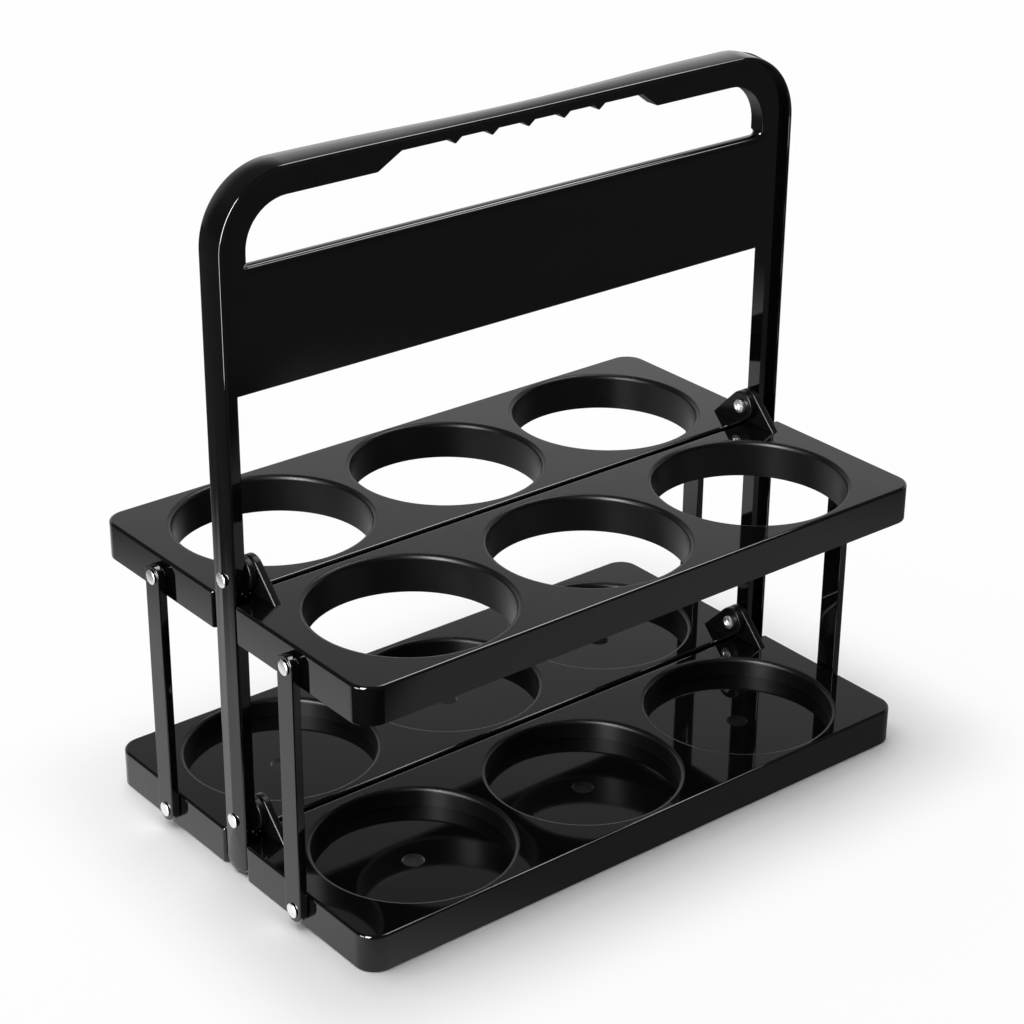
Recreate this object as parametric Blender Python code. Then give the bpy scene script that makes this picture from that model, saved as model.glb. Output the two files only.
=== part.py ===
"""Folding carrier for six cups: two levels of hinged half trays under one upright handle.

The trays fold up beside the handle about the pins in its two legs. A flat link at each corner
joins the lower half tray to the upper one, so that both levels fold together and stay level.
X runs along the carrier, Y across it, Z up, with the origin under the middle of the trays.
Local places on a tray count up from its top face and out from the middle plane.
"""

import math

import bmesh
import bpy
from mathutils import Vector

# Cup holes and the rims around them
CUP_DIAMETER = 0.088
CUP_WEB = 0.008
INNER_RIM = 0.0053
OUTER_RIM = 0.0041
END_RIM = 0.0143

# Tray moulding
TRAY_HEIGHT = 0.0175
HALF_GAP = 0.0026
TRAY_CORNER = 0.010
SMALL_CORNER = 0.0015
TOP_ROUND = 0.0012
FOOT_ROUND = 0.0005
SKIN = 0.0020
CUP_WALL = 0.0018
RIM_WALL = 0.0030
INNER_WALL = 0.0040
POCKET_DEPTH = 0.0091
POCKET_FLOOR = 0.0020
POCKET_FILLET = 0.0004
DRAIN_DIAMETER = 0.010

# The two levels
LEVEL_RISE = 0.1165

# Handle legs, with a flange outside and a web inside
LEG_PROUD = 0.0004
LEG_DEPTH = 0.0091
LEG_WIDTH = 0.0153
WEB_WIDTH = 0.0077
FLANGE_DEPTH = 0.0024
FLANGE_ROUND = 0.0009
FLANGE_CROWN = 0.0005
LEG_LIFT = 0.0015
LEG_FOOT_ROUND = 0.0040

# Handle top, opening and panel
HANDLE_HEIGHT = 0.3173
HANDLE_CORNER = 0.0335
BAND_WIDTH = 0.0148
BAND_WAIST = 0.0112
BAND_DIP = 0.0012
BAND_DIP_INSET = 0.0102
BAR_DEPTH = 0.0147
SIDE_DEPTH = 0.0157
OPENING_HEIGHT = 0.0260
OPENING_CORNER = 0.020
OPENING_FOOT = 0.0020
OPENING_CHAMFER = 0.0010
PANEL_HEIGHT = 0.0534

# Finger grip under the handle bar
TOOTH_PITCH = 0.0193
TOOTH_WIDTH = 0.0066
TOOTH_DEPTH = 0.0023
TOOTH_SHIFT = 0.0030
GRIP_RISE = 0.0067
GRIP_REACH = 0.0750
GRIP_SLANT = 0.0120
GRIP_SHORT_SLANT = 0.0090

# Hinge ears on the trays
EAR_THICK = 0.0036
EAR_RADIUS = 0.0072
EAR_LIFT = 0.0017
EAR_FOOT = 0.0187
EAR_ROOT = 0.0010

# Links and their place
LINK_WIDTH = 0.0110
LINK_THICK = 0.0040
LINK_PLACE = 0.0500
LINK_BEVEL = 0.0004

# Rivets and hinge pins
SHANK_DIAMETER = 0.0040
HEAD_DIAMETER = 0.0066
HEAD_RISE = 0.0011
CLINCH_DIAMETER = 0.0066
CLINCH_DEPTH = 0.0016
CLINCH_BORE = 0.0022
CLINCH_BORE_DEPTH = 0.0014

# Clearances
FIT = 0.0003
LEG_CLEAR = 0.0008
CUT_OVERRUN = 0.0020

# Facets on round shapes
CUP_FACETS = 40
DRAIN_FACETS = 12
PIN_FACETS = 12
ARC_FACETS = 4
BAND_FACETS = 9
DIP_FACETS = 14
DOME_FACETS = 3

# The teeth of the grip, counted from the middle one
TEETH_EACH_SIDE = 2

# Places worked out from the sizes above
CUP_RADIUS = CUP_DIAMETER / 2
CUP_PITCH = CUP_DIAMETER + CUP_WEB
INNER_EDGE = HALF_GAP / 2
CUP_PLACE = INNER_EDGE + INNER_RIM + CUP_RADIUS
OUTER_EDGE = CUP_PLACE + CUP_RADIUS + OUTER_RIM
TRAY_END = CUP_PITCH + CUP_RADIUS + END_RIM
LEG_OUTER = TRAY_END + LEG_PROUD
LEG_INNER = LEG_OUTER - LEG_DEPTH
EAR_OUTER = LEG_INNER - FIT
NOTCH_REACH = LEG_WIDTH / 2 + LEG_CLEAR
PIN_LIFT = EAR_RADIUS + EAR_LIFT
LOWER_TOP = TRAY_HEIGHT
UPPER_TOP = LOWER_TOP + LEVEL_RISE
LINK_DROP = TRAY_HEIGHT / 2
LINK_INNER = TRAY_END + FIT
LINK_OUTER = LINK_INNER + LINK_THICK
BAND_DIP_REACH = LEG_OUTER - HANDLE_CORNER - BAND_DIP_INSET
OPENING_TOP = HANDLE_HEIGHT - BAR_DEPTH
PANEL_TOP = OPENING_TOP - OPENING_HEIGHT
PANEL_BOTTOM = PANEL_TOP - PANEL_HEIGHT
SHANK_RADIUS = SHANK_DIAMETER / 2
HOLE_RADIUS = SHANK_RADIUS + FIT

SIDES = {"left": -1, "right": 1}
HALVES = {"front": -1, "back": 1}


def clear_scene():
    """Remove every object, so that the model starts from an empty scene."""
    for item in list(bpy.data.objects):
        bpy.data.objects.remove(item, do_unlink=True)


def material(name, colour, roughness, metallic):
    """Return a plain Principled material."""
    made = bpy.data.materials.new(name)
    made.use_nodes = True
    shader = made.node_tree.nodes["Principled BSDF"]
    shader.inputs["Base Color"].default_value = (*colour, 1)
    shader.inputs["Roughness"].default_value = roughness
    shader.inputs["Metallic"].default_value = metallic
    return made


def black_plastic():
    """Glossy black moulded plastic of the trays, links and handle."""
    return material("black_plastic", (0.012, 0.012, 0.013), 0.12, 0)


def bright_steel():
    """Plated steel of the rivets and hinge pins."""
    return material("bright_steel", (0.78, 0.78, 0.79), 0.18, 1)


def arc(centre, radius, start, end, facets):
    """Return points on an arc in a plane, both ends included, angles in radians."""
    points = []
    for step in range(facets + 1):
        angle = start + (end - start) * step / facets
        points.append(centre + Vector((math.cos(angle), math.sin(angle))) * radius)
    return points


def round_corners(corners, facets=ARC_FACETS):
    """Return the outline through (x, y, radius) corners, each turned into an arc of that radius."""
    outline = []
    count = len(corners)
    for index in range(count):
        here = Vector(corners[index][:2])
        radius = corners[index][2]
        back = (Vector(corners[index - 1][:2]) - here).normalized()
        ahead = (Vector(corners[(index + 1) % count][:2]) - here).normalized()
        if radius == 0:
            outline.append(here)
            continue
        half = math.acos(max(-1, min(1, back.dot(ahead)))) / 2
        centre = here + (back + ahead).normalized() * (radius / math.sin(half))
        first = here + back * (radius / math.tan(half)) - centre
        last = here + ahead * (radius / math.tan(half)) - centre
        turn = math.atan2(first.cross(last), first.dot(last))
        start = math.atan2(first.y, first.x)
        outline.extend(arc(centre, radius, start, start + turn, facets))
    return outline


def grown(outline, distance):
    """Return the outline with every side moved outwards by a distance; it runs anticlockwise."""
    moved = []
    count = len(outline)
    for index in range(count):
        back = (outline[index] - outline[index - 1]).normalized()
        ahead = (outline[(index + 1) % count] - outline[index]).normalized()
        normal_back = Vector((back.y, -back.x))
        normal_ahead = Vector((ahead.y, -ahead.x))
        middle = (normal_back + normal_ahead).normalized()
        moved.append(outline[index] + middle * (distance / middle.dot(normal_back)))
    return moved


def mesh_from_rings(name, rings):
    """Return a closed mesh through rings of as many points each, with both ends capped."""
    shape = bmesh.new()
    loops = [[shape.verts.new(point) for point in ring] for ring in rings]
    shape.faces.new(loops[0])
    shape.faces.new(loops[-1])
    count = len(loops[0])
    for lower, upper in zip(loops, loops[1:]):
        for index in range(count):
            after = (index + 1) % count
            shape.faces.new((lower[index], lower[after], upper[after], upper[index]))
    bmesh.ops.recalc_face_normals(shape, faces=shape.faces)
    made = bpy.data.meshes.new(name)
    shape.to_mesh(made)
    shape.free()
    return made


def put(name, mesh, place=(0, 0, 0)):
    """Return a new object of the mesh, linked to the scene at its place."""
    made = bpy.data.objects.new(name, mesh)
    made.location = place
    bpy.context.scene.collection.objects.link(made)
    return made


def prism(name, outline, axis, low, high):
    """Return a prism of the outline; its plane is YZ, XZ or XY for axis x, y or z."""
    return stack(name, axis, [(outline, low), (outline, high)])


def stack(name, axis, layers):
    """Return a solid through (outline, level) layers along an axis."""
    lift = {
        "x": lambda point, level: (level, point.x, point.y),
        "y": lambda point, level: (point.x, level, point.y),
        "z": lambda point, level: (point.x, point.y, level),
    }[axis]
    return put(name, mesh_from_rings(name, [[lift(p, level) for p in outline] for outline, level in layers]))


def turned(name, axis, centre, profile, facets):
    """Return a turned solid with a (radius, level) profile about a line along an axis."""
    layers = []
    for radius, level in profile:
        layers.append((arc(Vector(centre), radius, 0, math.tau * (facets - 1) / facets, facets - 1), level))
    return stack(name, axis, layers)


def combine(target, other, operation):
    """Cut, join or cross the target with another object, which is used up."""
    modifier = target.modifiers.new(operation, "BOOLEAN")
    modifier.operation = operation
    modifier.solver = "EXACT"
    modifier.object = other
    bpy.context.view_layer.objects.active = target
    bpy.ops.object.modifier_apply(modifier=modifier.name)
    bpy.data.objects.remove(other, do_unlink=True)


def finish(item, name, place, surface):
    """Move the mesh so that its origin is at a place, name it, and shade it smooth where it is round."""
    for vertex in item.data.vertices:
        vertex.co -= Vector(place)
    item.location = place
    item.name = name
    item.data.name = name
    item.data.materials.clear()
    item.data.materials.append(surface)
    item.data.shade_smooth()
    item.data.set_sharp_from_angle(angle=math.radians(35))
    return item


def tray_outline():
    """Outline of the front half tray from above, anticlockwise, with a notch for each leg."""
    inner = -INNER_EDGE
    notch = -NOTCH_REACH
    return round_corners([
        (-EAR_OUTER, inner, SMALL_CORNER),
        (-EAR_OUTER, notch, SMALL_CORNER),
        (-TRAY_END, notch, SMALL_CORNER),
        (-TRAY_END, -OUTER_EDGE, TRAY_CORNER),
        (TRAY_END, -OUTER_EDGE, TRAY_CORNER),
        (TRAY_END, notch, SMALL_CORNER),
        (EAR_OUTER, notch, SMALL_CORNER),
        (EAR_OUTER, inner, SMALL_CORNER),
    ])


def core_outline():
    """Outline of the hollow under a half tray, before the cup walls divide it."""
    inner = -INNER_EDGE - INNER_WALL
    notch = -NOTCH_REACH - RIM_WALL
    outer = -OUTER_EDGE + RIM_WALL
    end = TRAY_END - RIM_WALL
    ear = EAR_OUTER - RIM_WALL
    corner = TRAY_CORNER - RIM_WALL
    return round_corners([
        (-ear, inner, 0),
        (-ear, notch, 0),
        (-end, notch, 0),
        (-end, outer, corner),
        (end, outer, corner),
        (end, notch, 0),
        (ear, notch, 0),
        (ear, inner, 0),
    ])


def tray_body():
    """The half tray's block, with its top edge rounded over and its lower edge eased."""
    outline = tray_outline()
    slope = TOP_ROUND * (1 - math.sqrt(0.5))
    return stack("tray", "z", [
        (grown(outline, -FOOT_ROUND), -TRAY_HEIGHT),
        (outline, FOOT_ROUND - TRAY_HEIGHT),
        (outline, -TOP_ROUND),
        (grown(outline, -slope), -slope),
        (grown(outline, -TOP_ROUND), 0),
    ])


def cup_cutter(centre, has_floor):
    """Cutter for one cup hole, flared at the rim, down to the pocket's floor if it has one."""
    floor = -POCKET_DEPTH
    below = [(CUP_RADIUS, -TRAY_HEIGHT - CUT_OVERRUN)]
    if has_floor:
        below = [(CUP_RADIUS - POCKET_FILLET, floor), (CUP_RADIUS, floor + POCKET_FILLET)]
    rim = [
        (CUP_RADIUS, -TOP_ROUND),
        (CUP_RADIUS + TOP_ROUND, 0),
        (CUP_RADIUS + TOP_ROUND, CUT_OVERRUN),
    ]
    return turned("cup", "z", centre, below + rim, CUP_FACETS)


def floor_cutters(centre):
    """Cutters for the hollow under a pocket's floor and for the drain hole through the floor."""
    bottom = -TRAY_HEIGHT - CUT_OVERRUN
    hollow = [(CUP_RADIUS, bottom), (CUP_RADIUS, -POCKET_DEPTH - POCKET_FLOOR)]
    drain = [(DRAIN_DIAMETER / 2, bottom), (DRAIN_DIAMETER / 2, CUT_OVERRUN - POCKET_DEPTH)]
    return [
        turned("hollow", "z", centre, hollow, CUP_FACETS),
        turned("drain", "z", centre, drain, DRAIN_FACETS),
    ]


def core_cutter(centres):
    """Cutter for the hollows under a half tray, which leaves a wall round each cup."""
    top = -SKIN
    bottom = -TRAY_HEIGHT - CUT_OVERRUN
    cutter = prism("core", core_outline(), "z", bottom, top)
    for centre in centres:
        radius = CUP_RADIUS + CUP_WALL
        profile = [(radius, bottom - CUT_OVERRUN), (radius, top + CUT_OVERRUN)]
        combine(cutter, turned("wall", "z", centre, profile, CUP_FACETS), "DIFFERENCE")
    return cutter


def tangent_angle(point, centre, radius, side):
    """Angle at which a line from the point touches a circle, on one side of the line to its centre."""
    away = point - centre
    return math.atan2(away.y, away.x) + side * math.acos(radius / away.length)


def ear_outline():
    """Side outline of a front half tray's ear: a round lobe on a foot that slopes out to the front."""
    pin = Vector((0, PIN_LIFT))
    front = Vector((-EAR_FOOT, 0))
    rear = Vector((-INNER_EDGE - TOP_ROUND, 0))
    start = tangent_angle(rear, pin, EAR_RADIUS, 1)
    end = tangent_angle(front, pin, EAR_RADIUS, -1) + math.tau
    lobe = arc(pin, EAR_RADIUS, start, end, PIN_FACETS)
    root = Vector((0, EAR_ROOT))
    return [front - root, rear - root, rear] + lobe + [front]


def ear(inner_face):
    """One ear, a plate across X with its inner face at the given place."""
    return prism("ear", ear_outline(), "x", inner_face, inner_face + EAR_THICK)


def tray_ears():
    """A front half tray's ears: next to the leg on the right, one ear further in on the left."""
    near = EAR_OUTER - EAR_THICK
    far = near - FIT - EAR_THICK
    return [ear(near), ear(-far - EAR_THICK)]


def tray_mesh(has_floor):
    """Mesh of a front half tray, measured from its top face; a back one is the same turned round."""
    centres = [(column * CUP_PITCH, -CUP_PLACE) for column in (-1, 0, 1)]
    body = tray_body()
    combine(body, core_cutter(centres), "DIFFERENCE")
    for centre in centres:
        combine(body, cup_cutter(centre, has_floor), "DIFFERENCE")
        if has_floor:
            for cutter in floor_cutters(centre):
                combine(body, cutter, "DIFFERENCE")
    for part in tray_ears():
        combine(body, part, "UNION")
    reach = EAR_OUTER + CUT_OVERRUN
    bore = [(HOLE_RADIUS, -reach), (HOLE_RADIUS, reach)]
    combine(body, turned("bore", "x", (0, PIN_LIFT), bore, PIN_FACETS), "DIFFERENCE")
    for side in SIDES.values():
        ends = sorted((side * (TRAY_END - RIM_WALL - CUT_OVERRUN), side * (TRAY_END + CUT_OVERRUN)))
        hole = [(HOLE_RADIUS, ends[0]), (HOLE_RADIUS, ends[1])]
        place = (-LINK_PLACE, -LINK_DROP)
        combine(body, turned("hole", "x", place, hole, PIN_FACETS), "DIFFERENCE")
    return body


def make_trays(surface):
    """Both levels: the front half tray, and its twin turned half a turn about the upright axis."""
    for level, top, has_floor in (("upper", UPPER_TOP, False), ("lower", LOWER_TOP, True)):
        front = finish(tray_mesh(has_floor), level + "_front_tray", (0, 0, PIN_LIFT), surface)
        front.location = (0, 0, top + PIN_LIFT)
        back = put(level + "_back_tray", front.data, front.location)
        back.rotation_euler.z = math.pi


def band_dip(along):
    """Depth of the shallow dip in the handle's top at a distance from its middle."""
    if abs(along) >= BAND_DIP_REACH:
        return 0
    return BAND_DIP * (1 + math.cos(math.pi * along / BAND_DIP_REACH)) / 2


def band_half_width(along):
    """Half the width of the handle's top band at a distance from its middle."""
    waist = band_dip(along) / BAND_DIP
    return (BAND_WIDTH + (BAND_WAIST - BAND_WIDTH) * waist) / 2


def foot_half_width(height):
    """Half the width of a leg's flange, which is rounded off at the foot."""
    short = max(0, LEG_FOOT_ROUND - (height - LEG_LIFT))
    return LEG_WIDTH / 2 - LEG_FOOT_ROUND + math.sqrt(max(0, LEG_FOOT_ROUND ** 2 - short ** 2))


def right_stations():
    """Stations up the right leg and along the top to the middle: place in XZ and half width."""
    stations = []
    for step in range(ARC_FACETS + 1):
        angle = math.pi / 2 * step / ARC_FACETS
        height = LEG_LIFT + LEG_FOOT_ROUND * (1 - math.cos(angle))
        stations.append((Vector((LEG_OUTER, height)), foot_half_width(height)))
    centre = Vector((LEG_OUTER - HANDLE_CORNER, HANDLE_HEIGHT - HANDLE_CORNER))
    for step, point in enumerate(arc(centre, HANDLE_CORNER, 0, math.pi / 2, BAND_FACETS)):
        width = LEG_WIDTH + (BAND_WIDTH - LEG_WIDTH) * step / BAND_FACETS
        stations.append((point, width / 2))
    for step in range(DIP_FACETS):
        along = BAND_DIP_REACH * (1 - step / DIP_FACETS)
        stations.append((Vector((along, HANDLE_HEIGHT - band_dip(along))), band_half_width(along)))
    return stations


def band_stations():
    """Stations along the whole band, from the right foot over the top to the left foot."""
    right = right_stations()
    middle = (Vector((0, HANDLE_HEIGHT - BAND_DIP)), BAND_WAIST / 2)
    left = [(Vector((-point.x, point.y)), half) for point, half in reversed(right)]
    return right + [middle] + left


def band_normals(points):
    """Outward direction at each point of the band."""
    normals = []
    for index in range(len(points)):
        before = points[max(0, index - 1)]
        after = points[min(len(points) - 1, index + 1)]
        way = (after - before).normalized()
        normals.append(Vector((way.y, -way.x)))
    return normals


def band_section(half):
    """Section of the flange: (place across, depth below its ridge), the edges rounded over."""
    slope = FLANGE_ROUND * (1 - math.sqrt(0.5))
    side = [
        (half, FLANGE_DEPTH),
        (half, FLANGE_CROWN + FLANGE_ROUND),
        (half - slope, FLANGE_CROWN + slope),
        (half - FLANGE_ROUND, FLANGE_CROWN),
    ]
    other = [(-across, depth) for across, depth in reversed(side)]
    return side + [(0, 0)] + other


def make_band():
    """The flange that runs up one leg, over the top and down the other."""
    stations = band_stations()
    points = [point for point, half in stations]
    rings = []
    for (point, half), normal in zip(stations, band_normals(points)):
        ring = []
        for across, depth in band_section(half):
            place = point - normal * depth
            ring.append((place.x, across, place.y))
        rings.append(ring)
    return put("band", mesh_from_rings("band", rings))


def make_web():
    """The web inside the flange, with the panel between the legs."""
    stations = band_stations()
    points = [point for point, half in stations]
    buried = (FLANGE_CROWN + FLANGE_DEPTH) / 2
    edge = [point - normal * buried for point, normal in zip(points, band_normals(points))]
    foot = LEG_LIFT + FIT
    outside = [point for point in edge if point.y > foot]
    outer = LEG_OUTER - buried
    outline = [Vector((LEG_INNER, foot)), Vector((outer, foot))] + outside
    outline += [Vector((-outer, foot)), Vector((-LEG_INNER, foot))]
    outline += [Vector((-LEG_INNER, PANEL_BOTTOM)), Vector((LEG_INNER, PANEL_BOTTOM))]
    return prism("handle", outline, "y", -WEB_WIDTH / 2, WEB_WIDTH / 2)


def grip_edge():
    """Points along the toothed underside of the bar, from the right end of the grip to the left."""
    top = OPENING_TOP + GRIP_RISE
    points = [Vector((GRIP_REACH, OPENING_TOP)), Vector((GRIP_REACH - GRIP_SHORT_SLANT, top))]
    for tooth in range(TEETH_EACH_SIDE, -TEETH_EACH_SIDE - 1, -1):
        middle = tooth * TOOTH_PITCH + TOOTH_SHIFT
        points.append(Vector((middle + TOOTH_WIDTH / 2, top)))
        points.append(Vector((middle, top - TOOTH_DEPTH)))
        points.append(Vector((middle - TOOTH_WIDTH / 2, top)))
    points += [Vector((GRIP_SLANT - GRIP_REACH, top)), Vector((-GRIP_REACH, OPENING_TOP))]
    return points


def opening_outline():
    """Outline of the hand opening above the panel, anticlockwise, with the grip along its top."""
    side = LEG_OUTER - SIDE_DEPTH
    frame = round_corners([
        (-side, PANEL_TOP, OPENING_FOOT),
        (side, PANEL_TOP, OPENING_FOOT),
        (side, OPENING_TOP, OPENING_CORNER),
        (-side, OPENING_TOP, OPENING_CORNER),
    ])
    right = frame[:3 * (ARC_FACETS + 1)]
    left = frame[3 * (ARC_FACETS + 1):]
    return right + grip_edge() + left


def opening_cutter():
    """Cutter for the hand opening, with its edges eased on both faces."""
    outline = opening_outline()
    wide = grown(outline, OPENING_CHAMFER)
    face = WEB_WIDTH / 2
    return stack("opening", "y", [
        (wide, -face - CUT_OVERRUN),
        (wide, -face),
        (outline, OPENING_CHAMFER - face),
        (outline, face - OPENING_CHAMFER),
        (wide, face),
        (wide, face + CUT_OVERRUN),
    ])


def make_handle(surface):
    """The one-piece handle: two legs, the band over the top, the panel and the hand opening."""
    handle = make_web()
    combine(handle, opening_cutter(), "DIFFERENCE")
    combine(handle, make_band(), "UNION")
    reach = LEG_OUTER + CUT_OVERRUN
    for top in (LOWER_TOP, UPPER_TOP):
        bore = [(HOLE_RADIUS, -reach), (HOLE_RADIUS, reach)]
        combine(handle, turned("bore", "x", (0, top + PIN_LIFT), bore, PIN_FACETS), "DIFFERENCE")
    finish(handle, "handle", (0, 0, 0), surface)


def link_mesh():
    """A flat link with round ends, measured from its lower hole, its faces across X."""
    radius = LINK_WIDTH / 2
    ends = arc(Vector((0, LEVEL_RISE)), radius, 0, math.pi, PIN_FACETS // 2)
    ends += arc(Vector((0, 0)), radius, math.pi, math.tau, PIN_FACETS // 2)
    narrow = grown(ends, -LINK_BEVEL)
    half = LINK_THICK / 2
    link = stack("link", "x", [
        (narrow, -half),
        (ends, LINK_BEVEL - half),
        (ends, half - LINK_BEVEL),
        (narrow, half),
    ])
    reach = half + CUT_OVERRUN
    for height in (0, LEVEL_RISE):
        hole = [(HOLE_RADIUS, -reach), (HOLE_RADIUS, reach)]
        combine(link, turned("hole", "x", (0, height), hole, PIN_FACETS), "DIFFERENCE")
    return link


def make_links(surface):
    """Four links, two at each end, hung between the two levels outside the trays."""
    pattern = finish(link_mesh(), "link", (0, 0, 0), surface)
    middle = (LINK_INNER + LINK_OUTER) / 2
    for half_name, half in HALVES.items():
        for side_name, side in SIDES.items():
            place = (side * middle, half * LINK_PLACE, LOWER_TOP - LINK_DROP)
            put("link_" + half_name + "_" + side_name, pattern.data, place)
    bpy.data.objects.remove(pattern, do_unlink=True)


def rivet_profile(seat, wall):
    """Profile of a rivet along +X: a clinched tail behind the wall, a shank, and a domed head."""
    tail = wall - FIT - CLINCH_DEPTH
    head = seat + FIT
    dome = []
    for step in range(1, DOME_FACETS):
        angle = math.pi / 2 * step / DOME_FACETS
        dome.append((HEAD_DIAMETER / 2 * math.cos(angle), head + HEAD_RISE * math.sin(angle)))
    return [
        (CLINCH_BORE / 2, tail + CLINCH_BORE_DEPTH),
        (CLINCH_BORE / 2, tail),
        (CLINCH_DIAMETER / 2, tail),
        (CLINCH_DIAMETER / 2, tail + CLINCH_DEPTH),
        (SHANK_RADIUS, tail + CLINCH_DEPTH),
        (SHANK_RADIUS, head),
        (HEAD_DIAMETER / 2, head),
    ] + dome


def rivet_mesh(name, seat, wall, surface):
    """A rivet with its head over the seat and its tail inside the wall, its length along +X."""
    rivet = turned(name, "x", (0, 0), rivet_profile(seat, wall), PIN_FACETS)
    return finish(rivet, name, (0, 0, 0), surface)


def place_rivets(pattern, name, side, across, height):
    """Put one copy of a rivet at the right or left end, its head outwards."""
    copy = put(name, pattern.data, (0, across, height))
    if side < 0:
        copy.rotation_euler.z = math.pi


def make_rivets(surface):
    """A rivet through each end of each link, fixed in the end wall of the tray there."""
    pattern = rivet_mesh("link_rivet", LINK_OUTER, TRAY_END - RIM_WALL, surface)
    for level, top in (("upper", UPPER_TOP), ("lower", LOWER_TOP)):
        for half_name, half in HALVES.items():
            for side_name, side in SIDES.items():
                name = "_".join(("link_rivet", level, half_name, side_name))
                place_rivets(pattern, name, side, half * LINK_PLACE, top - LINK_DROP)
    bpy.data.objects.remove(pattern, do_unlink=True)


def make_pins(surface):
    """A hinge pin through each leg and the two ears inside it, on both levels."""
    ears = EAR_OUTER - 2 * EAR_THICK - FIT
    pattern = rivet_mesh("hinge_pin", LEG_OUTER, ears, surface)
    for level, top in (("upper", UPPER_TOP), ("lower", LOWER_TOP)):
        for side_name, side in SIDES.items():
            name = "_".join(("hinge_pin", level, side_name))
            place_rivets(pattern, name, side, 0, top + PIN_LIFT)
    bpy.data.objects.remove(pattern, do_unlink=True)


def main():
    clear_scene()
    plastic = black_plastic()
    steel = bright_steel()
    make_trays(plastic)
    make_handle(plastic)
    make_links(plastic)
    make_rivets(steel)
    make_pins(steel)


main()
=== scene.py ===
"""Folding carrier for six cups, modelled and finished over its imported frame."""
import math

import bmesh
import bpy
from bpy.props import FloatProperty, FloatVectorProperty, IntProperty, PointerProperty
from mathutils import Matrix, Vector


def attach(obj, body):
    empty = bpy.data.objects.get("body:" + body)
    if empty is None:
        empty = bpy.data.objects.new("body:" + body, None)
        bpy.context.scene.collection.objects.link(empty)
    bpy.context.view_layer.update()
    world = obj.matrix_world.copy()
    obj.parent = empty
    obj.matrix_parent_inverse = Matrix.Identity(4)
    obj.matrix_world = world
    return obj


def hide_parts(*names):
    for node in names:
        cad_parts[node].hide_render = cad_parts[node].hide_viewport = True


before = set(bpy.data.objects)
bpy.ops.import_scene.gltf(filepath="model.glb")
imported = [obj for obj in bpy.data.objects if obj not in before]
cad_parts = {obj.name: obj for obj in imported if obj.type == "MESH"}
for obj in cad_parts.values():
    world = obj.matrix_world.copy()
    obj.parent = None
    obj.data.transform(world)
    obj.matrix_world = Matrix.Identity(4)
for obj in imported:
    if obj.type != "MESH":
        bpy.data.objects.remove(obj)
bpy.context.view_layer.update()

bl_info = {
    "name": "Folding Cup Carrier",
    "version": (1, 0, 0),
    "blender": (4, 5, 0),
    "location": "View3D > Sidebar > Carrier",
    "description": "Models a folding carrier for six cups over its packed frame",
    "category": "Object",
}

# Half trays, measured from the middle of the carrier (metres)
CUP_DIAMETER = 0.088
CUP_PITCH = 0.096
CUP_PLACE = 0.0506
INNER_EDGE = 0.0013
OUTER_EDGE = 0.0987
TRAY_END = 0.1543
TRAY_HEIGHT = 0.0175
TRAY_CORNER = 0.010
SMALL_CORNER = 0.0015
TOP_ROUND = 0.0012
FOOT_ROUND = 0.0005
SKIN = 0.0020
CUP_WALL = 0.0018
RIM_WALL = 0.0030
INNER_WALL = 0.0040
POCKET_DEPTH = 0.0091
POCKET_FLOOR = 0.0020
RIM_ROUND = 0.0021
DRAIN_DIAMETER = 0.010
LEVEL_RISE = 0.1165
LOWER_TOP = TRAY_HEIGHT
UPPER_TOP = LOWER_TOP + LEVEL_RISE
FIT = 0.0003

# Hinge ears and their pins
EAR_OUTER = 0.1453
EAR_THICK = 0.0036
EAR_RADIUS = 0.0072
EAR_FOOT = 0.0187
EAR_ROOT = 0.0013
EAR_EDGE = 0.0008
PIN_LIFT = 0.0089
NOTCH_REACH = 0.00845

# Handle
LEG_OUTER = 0.1547
LEG_INNER = EAR_OUTER + FIT
LEG_WIDTH = 0.0153
LEG_LIFT = 0.0015
LEG_FOOT_ROUND = 0.0040
WEB_WIDTH = 0.0077
WEB_BURIED = 0.0013
FLANGE_DEPTH = 0.0024
FLANGE_ROUND = 0.0009
FLANGE_CROWN = 0.0009
FLANGE_EASE = 0.0006
HANDLE_HEIGHT = 0.3173
HANDLE_CORNER = 0.0335
BAND_WIDTH = 0.0148
BAND_WAIST = 0.0112
BAND_DIP = 0.0012
BAND_DIP_REACH = 0.1110
MIDDLE_REACH = 0.0600
MIDDLE_TOP = 0.0022
OPENING_SIDE = 0.1390
OPENING_TOP = 0.3026
OPENING_CORNER = 0.020
OPENING_FOOT = 0.0020
OPENING_EDGE = 0.0004
PANEL_TOP = 0.2766
PANEL_BOTTOM = 0.2232
PANEL_EDGE = 0.0006
PANEL_ROUND = 0.0032
GRIP_TOP = 0.3093
GRIP_REACH = 0.0750
GRIP_SLANT = 0.0120
GRIP_SHORT_SLANT = 0.0090
TOOTH_PITCH = 0.0193
TOOTH_WIDTH = 0.0066
TOOTH_DEPTH = 0.0023
TOOTH_SHIFT = 0.0030
TOOTH_TIP = 0.0005

# Links, rivets and pins
LINK_THICK = 0.0040
LINK_WIDTH = 0.0110
LINK_INNER = TRAY_END + FIT
LINK_OUTER = LINK_INNER + LINK_THICK
LINK_PLACE = (INNER_EDGE + OUTER_EDGE) / 2
LINK_DROP = TRAY_HEIGHT / 2
LINK_EDGE = 0.0005
HOLE_RADIUS = 0.0023
SHANK_RADIUS = 0.0020
HEAD_RADIUS = 0.0033
HEAD_RISE = 0.0009
HEAD_RIM = 0.0003
CLINCH_RADIUS = 0.0033
CLINCH_DEPTH = 0.0016
CLINCH_BORE = 0.0012
CLINCH_BORE_DEPTH = 0.0014
BORE_TAPER_SHARE = 0.8

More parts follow.
